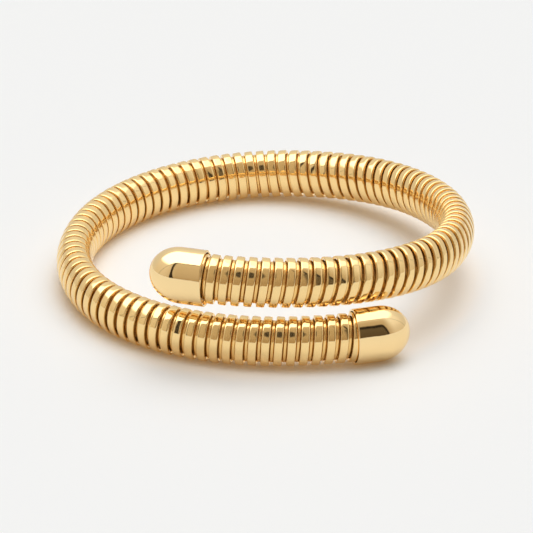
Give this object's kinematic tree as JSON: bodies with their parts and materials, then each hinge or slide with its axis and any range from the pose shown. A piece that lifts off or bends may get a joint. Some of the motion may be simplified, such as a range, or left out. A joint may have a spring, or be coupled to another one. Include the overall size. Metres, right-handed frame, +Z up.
{
  "type": "spiral coil bracelet",
  "caption": "Flexible gold bracelet: a hollow oval tube wound of raised and recessed strip turns, bent round so that its two tails with domed caps pass each other, one above the other.",
  "frame": {"origin": "middle of the ring, on the surface that the bracelet rests on", "axes": "+Z up along the ring's axis, -Y towards the side where the two tails cross, +X towards the lower tail's cap"},
  "size_m": [0.0676, 0.0668, 0.0192],
  "materials": {
    "raised_strip": "mirror polished yellow gold",
    "recessed_strip": "polished yellow gold, a little deeper in tone in the grooves",
    "end_caps": "mirror polished yellow gold"
  },
  "bodies": {
    "root": {"raised_turns": "raised_strip", "recessed_turns": "recessed_strip", "lower_cap": "end_caps", "upper_cap": "end_caps"}
  },
  "joints": []
}
